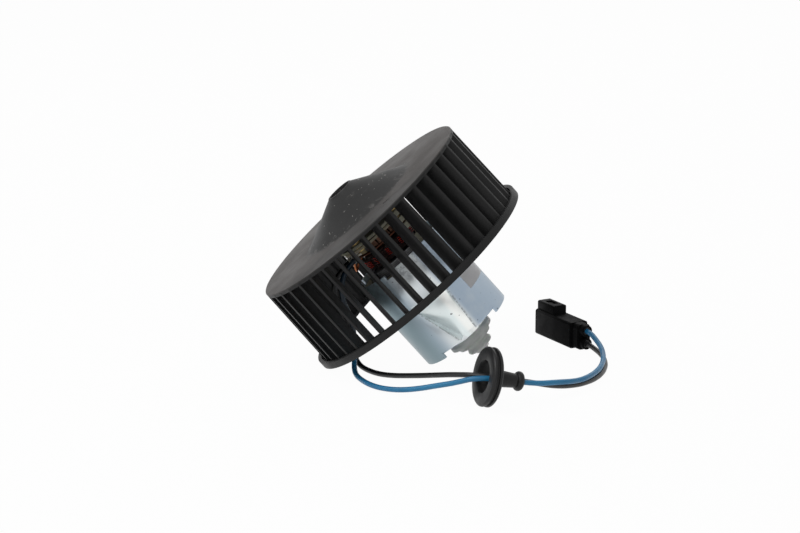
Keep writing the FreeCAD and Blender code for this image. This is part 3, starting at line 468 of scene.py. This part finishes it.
def dress(name, slot, edge=0.0, angle=35.0, segments=2):
    """Gives a model node its material, edges rounded by so many millimetres, and soft shading."""
    piece = nodes[name]
    piece.data.materials.clear()
    piece.data.materials.append(looks[slot])
    for face in piece.data.polygons:
        face.use_smooth = True
    weld = piece.modifiers.new("weld", "WELD")
    weld.merge_threshold = 0.000002
    if edge:
        bevel = piece.modifiers.new("edges", "BEVEL")
        bevel.width = edge * MM
        bevel.segments = segments
        bevel.limit_method = "ANGLE"
        bevel.angle_limit = math.radians(angle)
        bevel.use_clamp_overlap = True
        bevel.miter_outer = "MITER_ARC"
    split = piece.modifiers.new("creases", "EDGE_SPLIT")
    split.split_angle = math.radians(angle)
    split.use_edge_sharp = False


slots = {row["node"]: row["material_slot"] for row in frame["record"]["subparts"]}
edges = {
    "fan_wheel": 0.35,
    "motor_can": 0.3,
    "plug_housing": 0.45,
    "grommet": 0.5,
    "rear_cap": 0.4,
    "end_frame": 0.2,
    "brush_card": 0.15,
    "hub_clip": 0.12,
    "shaft": 0.1,
}
# other looks for some nodes: a coloured clip, worn commutator bars, and painted shade on the right
# shunt and the brush boxes
wear_and_painted_shade = {
    "hub_clip": "clip_steel",
    "commutator_bars": "worn_bars",
    "brush_shunt_right": "painted_shade_copper",
    "brush_box_right": "painted_shade_brass",
    "brush_box_left": "painted_shade_brass",
}
for node_name, slot_name in slots.items():
    if node_name in ("lead_black", "lead_blue"):
        continue
    look = wear_and_painted_shade.get(node_name, slot_name)
    dress(node_name, look, edges.get(node_name, 0.0))


# Pieces of this scene alone

def laid_piece(name, made, look, body):
    """Lays a mesh that was made upright as the motor lies, and rides it on a body."""
    bmesh.ops.transform(made, matrix=LAY, verts=made.verts)
    bmesh.ops.recalc_face_normals(made, faces=made.faces)
    mesh = bpy.data.meshes.new(name)
    made.to_mesh(mesh)
    made.free()
    for face in mesh.polygons:
        face.use_smooth = True
    mesh.materials.append(look)
    piece = bpy.data.objects.new(name, mesh)
    scene.collection.objects.link(piece)
    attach(piece, body)
    return piece


# Wire turns that lie open on the armature's front winding head

def wire_turns(name, radius, depth, wire_r, half_turn, first, groups, turns, pitch, look):
    """Groups of parallel wires on a drum about the shaft, each a bent tube that runs round it.

    The groups are spread over the whole turn from the angle first on, and a wire reaches
    half_turn degrees to either side of its group's middle.
    """
    made = bmesh.new()
    sides, steps = 8, 10
    for g in range(groups):
        for k in range(turns):
            rings = []
            for n in range(steps + 1):
                share = 2 * n / steps - 1
                a = math.radians(first + 360 * g / groups + half_turn * share)
                r = radius - 1.6 * share ** 4
                low = depth + (k - (turns - 1) / 2) * pitch + 0.5 * share
                out = Vector((math.cos(a), math.sin(a), 0.0))
                ring = []
                for m in range(sides):
                    b = 2 * math.pi * m / sides
                    spot = (r + wire_r * math.cos(b)) * out
                    spot.z = wire_r * math.sin(b) - low
                    ring.append(made.verts.new(spot * MM))
                rings.append(ring)
            for low, high in zip(rings, rings[1:]):
                for m in range(sides):
                    made.faces.new((low[m], low[(m + 1) % sides], high[(m + 1) % sides], high[m]))
            made.faces.new(rings[0][::-1])
            made.faces.new(rings[-1])
    return laid_piece(name, made, look, "rotor")


# the lit copy of the winding's enamel, in bright red, while the winding itself is painted dark as
# shade
open_wire = enamel("open_wire", (0.40, 0.016, 0.010), (0.75, 0.045, 0.026), 0.3, 0.3)
wires = wire_turns("open_wires", 19.7, 28.6, 0.36, 8.0, 4.0, 12, 4, 1.2, open_wire)


# Sticker on the can, bare

def sheet_on_can(name, radius, thickness, angles, depths, steps, look):
    """A thin curved sheet on the can's wall, between two angles and two depths from the disc."""
    made = bmesh.new()
    rings = []
    for r in (radius, radius + thickness):
        ring = []
        for k in range(steps + 1):
            a = math.radians(angles[0] + (angles[1] - angles[0]) * k / steps)
            for depth in depths:
                place = Vector((r * math.cos(a), r * math.sin(a), -depth)) * MM
                ring.append(made.verts.new(place))
        rings.append(ring)
    low, high = rings
    for ring in rings:
        for k in range(steps):
            a, b, c, d = ring[2 * k], ring[2 * k + 1], ring[2 * k + 3], ring[2 * k + 2]
            made.faces.new((a, b, c, d) if ring is low else (d, c, b, a))
    for k in range(steps):
        for side in (0, 1):
            a, b = low[2 * k + side], low[2 * k + 2 + side]
            c, d = high[2 * k + 2 + side], high[2 * k + side]
            made.faces.new((a, b, c, d) if side == 0 else (d, c, b, a))
    for k in (0, steps):
        a, b, c, d = low[2 * k], low[2 * k + 1], high[2 * k + 1], high[2 * k]
        made.faces.new((d, c, b, a) if k == 0 else (a, b, c, d))
    piece = laid_piece(name, made, look, "motor")
    split = piece.modifiers.new("creases", "EDGE_SPLIT")
    split.split_angle = math.radians(35.0)
    return piece


sticker = sheet_on_can("sticker", CAN_R, 0.08, (-44.0, 0.0), (62.0, 78.0), 24, label_film())


# Floor, light and background

FLOOR_HALF = 6.0
FLOOR_LOW = -0.0002
FLOOR_GLOW = 0.97
AMBIENT = 0.20
MIRRORED = 0.75
LAMP_AIM = Vector((0.0, 0.0, 0.05))


def floor_look():
    """White to the camera and in reflections, with a share of plain paint that takes the shadow."""
    s = Shade("floor", 0.9)
    s.set("Base Color", (0.92, 0.92, 0.92, 1.0))
    ray = s.node("ShaderNodeLightPath").outputs
    glow = s.node("ShaderNodeEmission")
    glow.inputs["Color"].default_value = (1.0, 1.0, 1.0, 1.0)
    glow.inputs["Strength"].default_value = 1.0
    blend = s.node("ShaderNodeMixShader")
    seen = s.math("MAXIMUM", ray["Is Camera Ray"], ray["Is Glossy Ray"])
    seen = s.math("MAXIMUM", seen, ray["Is Transmission Ray"])
    s.join(s.times(seen, FLOOR_GLOW), blend.inputs[0])
    s.join(s.shader.outputs[0], blend.inputs[1])
    s.join(glow.outputs[0], blend.inputs[2])
    out = s.tree.nodes["Material Output"]
    s.join(blend.outputs[0], out.inputs["Surface"])
    return s.material


floor_mesh = bpy.data.meshes.new("floor")
corners = [
    (x * FLOOR_HALF, y * FLOOR_HALF, FLOOR_LOW) for x, y in ((-1, -1), (1, -1), (1, 1), (-1, 1))
]
floor_mesh.from_pydata(corners, [], [(0, 1, 2, 3)])
floor = bpy.data.objects.new("floor", floor_mesh)
floor_mesh.materials.append(floor_look())
scene.collection.objects.link(floor)

world = bpy.data.worlds.new("studio")
scene.world = world
world.use_nodes = True
tree = world.node_tree
back = tree.nodes["Background"]
path = tree.nodes.new("ShaderNodeLightPath").outputs


def world_math(operation, *values):
    made = tree.nodes.new("ShaderNodeMath")
    made.operation = operation
    for k, value in enumerate(values):
        if isinstance(value, float):
            made.inputs[k].default_value = value
        else:
            tree.links.new(value, made.inputs[k])
    return made.outputs[0]


# white to the camera and through the cap, nearly so in reflections, and dim as a light
seen = world_math("MAXIMUM", path["Is Camera Ray"], path["Is Transmission Ray"])
seen = world_math("MAXIMUM", seen, world_math("MULTIPLY", path["Is Glossy Ray"], MIRRORED))
level = tree.nodes.new("ShaderNodeMapRange")
level.inputs["To Min"].default_value = AMBIENT
level.inputs["To Max"].default_value = 1.0
tree.links.new(seen, level.inputs["Value"])
tree.links.new(level.outputs[0], back.inputs["Strength"])
back.inputs["Color"].default_value = (1.0, 1.0, 1.0, 1.0)


def lamp(name, place, size, power):
    """An area lamp that points at the motor."""
    data = bpy.data.lights.new(name, "AREA")
    data.shape = "RECTANGLE"
    data.size, data.size_y = size
    data.energy = power
    made = bpy.data.objects.new(name, data)
    scene.collection.objects.link(made)
    made.location = place
    made.rotation_euler = (LAMP_AIM - Vector(place)).to_track_quat("-Z", "Y").to_euler()


lamp("key", (-1.0, -0.3, 1.5), (1.0, 1.0), 12.0)
lamp("fill", (-0.5, -1.3, 1.3), (0.9, 0.9), 5.0)
lamp("rear", (0.3, 1.4, 1.2), (1.2, 0.8), 4.0)

scene.view_settings.view_transform = "Standard"
